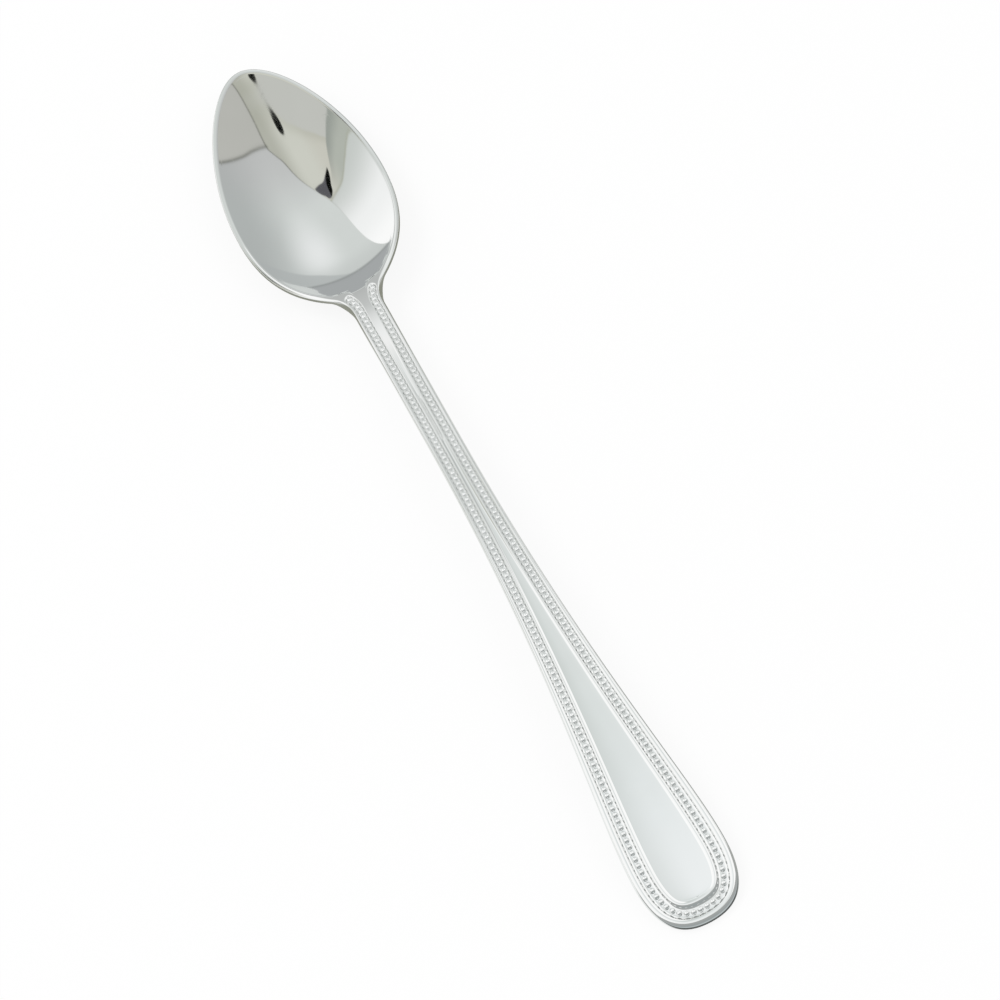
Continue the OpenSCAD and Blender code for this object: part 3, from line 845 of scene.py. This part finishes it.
def dome_mesh():
    mesh = bpy.data.meshes.new("studio_dome")
    shape = bmesh.new()
    bmesh.ops.create_icosphere(shape, subdivisions=DOME_DETAIL, radius=DOME_RADIUS)
    bmesh.ops.translate(shape, verts=shape.verts, vec=DOME_CENTRE)
    shape.to_mesh(mesh)
    shape.free()
    mesh.materials.append(dome_material())
    return linked("studio_dome", mesh)


glossy_only(dome_mesh())

# Side view of the card over the handle, low near the bowl and higher towards the handle end
CARD_SIDE = [(-0.16, 0.15), (0.0, 0.12), (0.066, 0.04)]
CARD_HALF, CARD_FADE = 0.25, 0.012
# Screen colours that the handle shows, from the end towards the bowl
CARD_TONES = [(-0.10, (238, 240, 241)), (-0.06, (228, 232, 233)), (-0.02, (217, 222, 221)),
              (0.03, (213, 217, 216)), (0.045, (226, 228, 227)), (0.06, (238, 239, 239))]


def shaded_card(name, corners, faces, shade):
    """A glowing card for reflections; shade gives its colour and how much of it shows."""
    mesh = bpy.data.meshes.new(name)
    mesh.from_pydata(corners, [], faces)
    material, tree = bare_material(name)
    tone, shown = shade(tree, *parts_of(tree, own_place(tree))[:2])
    light = add(tree, "ShaderNodeEmission", tone, 1.0)
    clear = add(tree, "ShaderNodeBsdfTransparent")
    show(tree, add(tree, "ShaderNodeMixShader", shown, clear, light))
    material.cycles.emission_sampling = "NONE"
    mesh.materials.append(material)
    glossy_only(linked(name, mesh))


def tone_row(tree, value, tones):
    """Screen colours that change softly from place to place along a value."""
    first, last = tones[0][0], tones[-1][0]
    share = add(tree, "ShaderNodeMapRange", value, first, last, 0.0, 1.0)
    row = tree.nodes.new("ShaderNodeValToRGB")
    row.color_ramp.interpolation = "B_SPLINE"
    while len(row.color_ramp.elements) < len(tones):
        row.color_ramp.elements.new(0.5)
    for element, (at, colour) in zip(row.color_ramp.elements, tones):
        element.position = (at - first) / (last - first)
        element.color = seen(*colour)
    tree.links.new(share, row.inputs[0])
    return row.outputs[0]


def handle_card_shade(tree, x, y):
    off = maths(tree, "ABSOLUTE", x)
    tone = painted(
        tree, tone_row(tree, y, CARD_TONES),
        (times(tree, ramp(tree, x, 0.0, 0.02), 0.5), (188, 194, 191)),
        (times(tree, ramp(tree, x, 0.0, -0.02), 0.5), (246, 247, 247)),
        (ramp(tree, off, 0.025, 0.05), (250, 250, 250)))
    aside = times(tree, ramp(tree, off, 0.03, 0.05), ramp(tree, y, 0.03, 0.045))
    return tone, times(tree, ramp(tree, y, CARD_SIDE[-1][0], CARD_SIDE[-1][0] - CARD_FADE),
                       rest(tree, aside))


# A small card over the neck, darker towards the bowl, with pale wings
NECK_CARD_Z, NECK_CARD_HALF, NECK_CARD_MIDDLE, WING_SOFT = 0.02, 0.06, 0.0062, 0.0015
NECK_TONES = [(0.034, (242, 242, 242)), (0.0407, (239, 239, 239)), (0.0437, (234, 235, 235)),
              (0.0467, (213, 215, 214)), (0.0487, (192, 194, 193)), (0.0507, (186, 188, 187)),
              (0.0525, (180, 182, 181)), (0.072, (174, 176, 175))]


def neck_card_shade(tree, x, y):
    tone = tone_row(tree, y, NECK_TONES)
    off = maths(tree, "ABSOLUTE", x)
    wing = ramp(tree, off, NECK_CARD_MIDDLE - WING_SOFT, NECK_CARD_MIDDLE + WING_SOFT)
    pale = blend(tree, ramp(tree, x, -0.006, 0.006), seen(250, 250, 250), seen(232, 234, 233))
    tone = blend(tree, wing, tone, pale)
    near = ramp(tree, y, NECK_TONES[0][0], NECK_TONES[0][0] + 0.006)
    aside = ramp(tree, off, 2 * NECK_CARD_MIDDLE, 2 * NECK_CARD_MIDDLE + 0.002)
    far = rest(tree, times(tree, aside, ramp(tree, y, 0.046, 0.052)))
    return tone, times(tree, near, far)


card_corners = [(x, y, z) for y, z in CARD_SIDE for x in (-CARD_HALF, CARD_HALF)]
shaded_card("handle_card", card_corners, [(0, 1, 3, 2), (2, 3, 5, 4)], handle_card_shade)
neck_corners = [(x, y, NECK_CARD_Z) for y in (NECK_TONES[0][0], NECK_TONES[-1][0])
                for x in (-NECK_CARD_HALF, NECK_CARD_HALF)]
shaded_card("neck_card", neck_corners, [(0, 1, 3, 2)], neck_card_shade)

# ---- steel


@shader_group("polish_lines", {"Place": ORIGIN, "Lines per Metre": 3800.0, "Line Stretch": 40.0},
              ["Height"])
def polish_group(tree, spot, fine, stretch):
    """Fine lines that the polishing wheel leaves along the spoon."""
    lines = add(tree, "ShaderNodeCombineXYZ", fine, maths(tree, "DIVIDE", fine, stretch), fine)
    scaled = add(tree, "ShaderNodeVectorMath", spot, lines, operation="MULTIPLY")
    return [noise(tree, scaled, 1.0, 3.0, 0.6)]


@shader_group("hairline_scratches", {"Place": ORIGIN, "Amount": 0.5, "Line Width": 0.006},
              ["Mask"])
def hairline_group(tree, spot, amount, line_width):
    """Sparse hairline scratches from use, in two slanting directions."""
    layers = []
    for turn, number in ((0.35, 1.0), (-0.6, 2.0)):
        turned = add(tree, "ShaderNodeMapping", spot, (number, 0.0, 0.0), (0.0, 0.0, turn),
                     (420.0, 38.0, 200.0))
        wave = noise(tree, turned, 1.0, 1.0, 0.4)
        off = maths(tree, "ABSOLUTE", maths(tree, "SUBTRACT", wave, 0.5))
        thin = rest(tree, ramp(tree, off, 0.0, line_width))
        patch = noise(tree, spot, 90.0 + 40.0 * number, 2.0, 0.5)
        layers.append(times(tree, thin, ramp(tree, patch, 0.5, 0.68)))
    return [times(tree, maths(tree, "MAXIMUM", *layers), amount)]


@shader_group("handling_haze", {"Place": ORIGIN, "Scale": 55.0}, ["Mask"])
def haze_group(tree, spot, scale):
    """Faint cloudy haze of handling, one where it is thickest."""
    return [ramp(tree, noise(tree, spot, scale, 4.0, 0.55, 0.4), 0.42, 0.7)]


@shader_group("edge_wear_and_recess_shade", {"Place": ORIGIN, "Crest": 0.0, "Valley": 0.0, "Unevenness": 0.5},
              ["Edge", "Shaded Dull Recess"])
def wear_and_shade_group(tree, spot, crest, valley, unevenness):
    """Edges that rubbing keeps bright, and recesses that the wheel leaves dull and that carry
    painted shade.
    """
    share = rest(tree, times(tree, unevenness, noise(tree, spot, 700.0, 2.0, 0.5)))
    return times(tree, crest, share), times(tree, valley, share)


# How strongly edges, haze and recesses show in the steel's colour, roughness and relief; the
# recesses' colour is painted shade
EDGE_TINT, EDGE_SHARE, HAZE_SHARE = (0.93, 0.935, 0.93, 1.0), 0.35, 0.05
HAZE_ROUGH, SCRATCH_ROUGH, RECESS_ROUGH = 0.025, 0.12, 0.12
SCRATCH_DEPTH, LINE_DEPTH = 0.8, 4e-8


def steel_material(name, steel_tint, shade_and_haze_tint, recess_shade_share, roughness, scratches):
    """Polished stainless steel with its own tint, a darker tint for the painted shade in recesses
    and for haze, roughness and scratches.
    """
    material = bpy.data.materials.new(name)
    material.use_nodes = True
    tree = material.node_tree
    bsdf = tree.nodes["Principled BSDF"]
    bsdf.inputs["Metallic"].default_value = 1.0
    where = own_place(tree)
    marks = [add(tree, "ShaderNodeAttribute", out=2, attribute_name=mark)
             for mark in ("crest", "valley")]
    edge, shaded_dull_recess = place(tree, wear_and_shade_group, Place=where, Crest=marks[0], Valley=marks[1])
    cloud = place(tree, haze_group, Place=where)[0]
    scratch = place(tree, hairline_group, Place=where, Amount=scratches)[0]
    height = place(tree, polish_group, Place=where)[0]
    # painted shade: the recesses darken towards the darker tint
    colour = blend(tree, times(tree, shaded_dull_recess, recess_shade_share), steel_tint, shade_and_haze_tint)
    colour = blend(tree, times(tree, cloud, HAZE_SHARE), colour, shade_and_haze_tint)
    colour = blend(tree, times(tree, edge, EDGE_SHARE), colour, EDGE_TINT)
    tree.links.new(colour, bsdf.inputs["Base Color"])
    rough = roughness
    for mask, more in ((cloud, HAZE_ROUGH), (scratch, SCRATCH_ROUGH), (shaded_dull_recess, RECESS_ROUGH)):
        rough = maths(tree, "MULTIPLY_ADD", mask, more, rough)
    tree.links.new(rough, bsdf.inputs["Roughness"])
    relief = maths(tree, "SUBTRACT", height, times(tree, scratch, SCRATCH_DEPTH))
    bump = tree.nodes.new("ShaderNodeBump")
    bump.inputs["Strength"].default_value = 1.0
    bump.inputs["Distance"].default_value = LINE_DEPTH
    tree.links.new(relief, bump.inputs["Height"])
    tree.links.new(bump.outputs[0], bsdf.inputs["Normal"])
    return material


# each steel darkens its recesses with painted shade, by the share given
body_steel = steel_material(
    "polished_steel", (0.862, 0.868, 0.862, 1.0), (0.47, 0.475, 0.45, 1.0),
    recess_shade_share=0.12, roughness=0.035, scratches=0.5)
bead_steel = steel_material(
    "beaded_steel", (0.885, 0.89, 0.885, 1.0), (0.43, 0.435, 0.41, 1.0),
    recess_shade_share=0.2, roughness=0.05, scratches=0.3)
spoon.data.materials.append(body_steel)

# ---- beads, set out by geometry nodes along the channel's middle line


# Points of the lane for each bead, so that it follows the channel's bend
LANE_POINTS = 4


def bead_lane():
    """The right-hand channel's middle line from the first bead to the last, with its slope."""
    run = np.linspace(FIRST_BEAD * BEAD_PITCH, LAST_BEAD, BEAD_COUNT * LANE_POINTS)
    points = np.stack([np.interp(run, LANE_RUN, LANE[:, k]) for k in range(3)], 1)
    half = BEAD_D / 2
    rise = edge_z(points[:, 1] + half) - edge_z(points[:, 1] - half)
    mesh = bpy.data.meshes.new("bead_lane")
    links = [(k, k + 1) for k in range(len(points) - 1)]
    mesh.from_pydata(((points - [0, MIDDLE_Y, 0]) * MM).tolist(), links, [])
    slope = mesh.attributes.new("floor_slope", "FLOAT", "POINT")
    slope.data.foreach_set("value", np.arctan2(rise, BEAD_D))
    return linked("bead_lane", mesh)


BEAD_SEGMENTS, BEAD_RINGS = 12, 6
BEAD_INPUTS = {
    "Lane": ("NodeSocketGeometry", None),
    "Beads on a Side": ("NodeSocketInt", BEAD_COUNT),
    "Bead Diameter": ("NodeSocketFloat", BEAD_D * MM),
    "Hidden Share": ("NodeSocketFloat", 0.25),
    "Size Spread": ("NodeSocketFloat", 0.025),
    "Seed": ("NodeSocketInt", 11),
    "Steel": ("NodeSocketMaterial", None),
}


def bead_tree():
    tree = bpy.data.node_groups.new("bead_border", "GeometryNodeTree")
    for label, (kind, value) in BEAD_INPUTS.items():
        socket = tree.interface.new_socket(label, in_out="INPUT", socket_type=kind)
        if value is not None:
            socket.default_value = value
    tree.interface.new_socket("Beads", in_out="OUTPUT", socket_type="NodeSocketGeometry")
    given = tree.nodes.new("NodeGroupInput").outputs
    end = tree.nodes.new("NodeGroupOutput")
    # both lanes: the right-hand one and its mirror image
    lane = add(tree, "GeometryNodeMeshToCurve", given["Lane"])
    right_row = add(tree, "GeometryNodeResampleCurve", lane, None, given["Beads on a Side"],
                    mode="COUNT")
    spot = add(tree, "GeometryNodeInputPosition")
    mirrored = add(tree, "ShaderNodeVectorMath", spot, (-1.0, 1.0, 1.0), operation="MULTIPLY")
    left_row = add(tree, "GeometryNodeSetPosition", right_row, None, mirrored)
    rows = tree.nodes.new("GeometryNodeJoinGeometry")
    for row in (left_row, right_row):
        tree.links.new(row, rows.inputs[0])
    # one bead: a dome whose lower half is pressed flat under the channel's floor
    radius = times(tree, given["Bead Diameter"], 0.5)
    ball = add(tree, "GeometryNodeMeshUVSphere", BEAD_SEGMENTS, BEAD_RINGS, radius)
    x, y, z = parts_of(tree, spot)
    height = maths(tree, "DIVIDE", z, radius)
    # the foot of each bead is marked for painted shade, and its top for edge wear
    for name, value in (("valley", ramp(tree, height, 0.45, 0.05)),
                        ("crest", ramp(tree, height, 0.6, 1.0))):
        ball = add(tree, "GeometryNodeStoreNamedAttribute", ball, None, name, value,
                   data_type="FLOAT", domain="POINT")
    flat = maths(tree, "MAXIMUM", z, times(tree, z, given["Hidden Share"]))
    pressed = add(tree, "ShaderNodeCombineXYZ", x, y, flat)
    dome = add(tree, "GeometryNodeSetPosition", ball, None, pressed)
    # set out with the floor's slope and a little difference in size
    slope = add(tree, "GeometryNodeInputNamedAttribute", "floor_slope", data_type="FLOAT")
    tilt = add(tree, "ShaderNodeCombineXYZ", slope, 0.0, 0.0)
    turn = add(tree, "FunctionNodeEulerToRotation", tilt)
    least = rest(tree, given["Size Spread"])
    size = add(tree, "FunctionNodeRandomValue", None, None, least, 1.0, None, None, None, None,
               given["Seed"], out=1, data_type="FLOAT")
    beads = add(tree, "GeometryNodeInstanceOnPoints", rows.outputs[0], None, dome, None, None,
                turn, size)
    beads = add(tree, "GeometryNodeRealizeInstances", beads)
    beads = add(tree, "GeometryNodeSetShadeSmooth", beads)
    beads = add(tree, "GeometryNodeSetMaterial", beads, None, given["Steel"])
    tree.links.new(beads, end.inputs[0])
    return tree


def bead_border():
    lane = bead_lane()
    tree = bead_tree()
    modifier = lane.modifiers.new("bead_border", "NODES")
    modifier.node_group = tree
    for item in tree.interface.items_tree:
        if item.in_out == "INPUT" and item.name == "Steel":
            modifier[item.identifier] = bead_steel
        elif item.in_out == "INPUT" and item.name != "Lane":
            modifier[item.identifier] = BEAD_INPUTS[item.name][1]
    evaluated = lane.evaluated_get(bpy.context.evaluated_depsgraph_get())
    mesh = bpy.data.meshes.new_from_object(evaluated)
    mesh.name = "bead_border"
    bpy.data.objects.remove(lane)
    return linked("bead_border", mesh)


border = bead_border()

# ---- background, lamps and floor


def views(tree):
    """One for what the camera sees at once, and one for what it sees by way of the metal."""
    rays = tree.nodes.new("ShaderNodeLightPath").outputs
    mirrored = maths(tree, "MAXIMUM", rays["Is Glossy Ray"], rays["Is Transmission Ray"])
    return rays["Is Camera Ray"], mirrored


world = bpy.data.worlds.new("studio")
scene.world = world
world.use_nodes = True
tree = world.node_tree
background = tree.nodes["Background"]
plain_view = maths(tree, "MAXIMUM", *views(tree))
background.inputs["Color"].default_value = (1, 1, 1, 1)
# white where it is seen, and ROOM_LIGHT where it lights
ROOM_LIGHT = 0.76
strength = maths(tree, "MULTIPLY_ADD", plain_view, 1 - ROOM_LIGHT, ROOM_LIGHT)
tree.links.new(strength, background.inputs["Strength"])


def soft_lamp(name, place_at, size, power):
    """A round soft lamp that faces the spoon's middle and that the metal doesn't mirror."""
    lamp = bpy.data.lights.new(name, "AREA")
    lamp.shape, lamp.size, lamp.energy = "DISK", size, power
    body = linked(name, lamp)
    body.location = place_at
    body.rotation_euler = (-Vector(place_at)).to_track_quat("-Z", "Y").to_euler()
    body.visible_glossy = False


soft_lamp("key_softbox", (-0.5, 0.35, 1.1), 0.7, 4.0)
soft_lamp("fill_softbox", (0.7, -0.5, 1.0), 0.8, 2.0)

sheet = bpy.data.meshes.new("floor")
sheet.from_pydata([(-3, -3, 0), (3, -3, 0), (3, 3, 0), (-3, 3, 0)], [], [(0, 1, 2, 3)])
floor = linked("floor", sheet)
paper, tree = bare_material("floor_paper")
paint = add(tree, "ShaderNodeBsdfDiffuse", (0.93, 0.93, 0.93, 1.0))
camera_view, metal_view = views(tree)
side, ahead = parts_of(tree, own_place(tree))[:2]
# what the metal sees of the floor is a painted reflection: darker on the spoon's right-hand side
# than on its left, then set by places along the spoon
tone = painted(
    tree, seen(232, 234, 233),
    (ramp(tree, side, -0.002, 0.004), (150, 153, 149)),
    (times(tree, ramp(tree, ahead, -0.05, 0.0), 0.75), (228, 229, 227)),
    # a painted dark line for the handle's end to mirror, and grey past it
    (ramp(tree, ahead, -0.093, -0.0955), (52, 58, 56)),
    (ramp(tree, ahead, -0.097, -0.0995), (176, 184, 186)),
    # a darker painted reflection from under the bowl on
    (ramp(tree, ahead, 0.03, 0.045), (124, 126, 113)))
tone = blend(tree, metal_view, (1.0, 1.0, 1.0, 1.0), tone)
plain = add(tree, "ShaderNodeEmission", tone, 1.0)
# how much of it glows, to the camera and to the metal
FLOOR_SEEN, FLOOR_MIRRORED = 0.88, 0.9
share = maths(tree, "MAXIMUM", times(tree, camera_view, FLOOR_SEEN),
              times(tree, metal_view, FLOOR_MIRRORED))
show(tree, add(tree, "ShaderNodeMixShader", share, paint, plain))
floor.data.materials.append(paper)

scene.view_settings.view_transform = "Standard"

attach(spoon, "root")
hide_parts("bowl", "handle_back", "edge_rim", "inner_ridge", "neck_tongue", "end_panel")
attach(border, "root")
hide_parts("beads_left", "beads_right")
